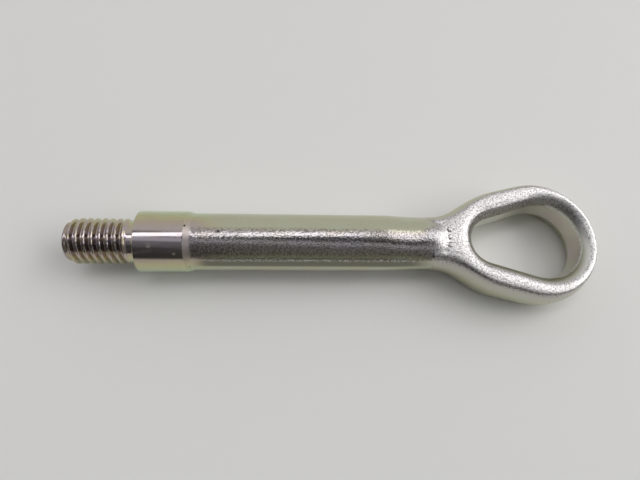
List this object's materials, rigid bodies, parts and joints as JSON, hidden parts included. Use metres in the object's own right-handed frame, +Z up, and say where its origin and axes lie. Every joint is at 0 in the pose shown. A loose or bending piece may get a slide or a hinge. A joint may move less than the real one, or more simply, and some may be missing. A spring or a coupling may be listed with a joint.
{
  "type": "tow eye",
  "caption": "Forged steel tow eye: a pear-shaped ring on a round shank, with a turned collar and a coarse right-hand thread at the far end. Zinc plated with a yellow tint.",
  "frame": {"origin": "centre of the part's box seen from above, on the ground it lies on", "axes": "+X along the part from the thread to the ring, +Z up. The part lies on its collar and on the underside of its ring, so its axis dips 0.53 degrees towards the ring"},
  "size_m": [0.2128, 0.051, 0.0244],
  "materials": {
    "steel": "forged and turned steel with a passivated zinc coat that shimmers olive, gold and mauve"
  },
  "bodies": {
    "root": {"tow_eye": "steel"}
  },
  "joints": []
}
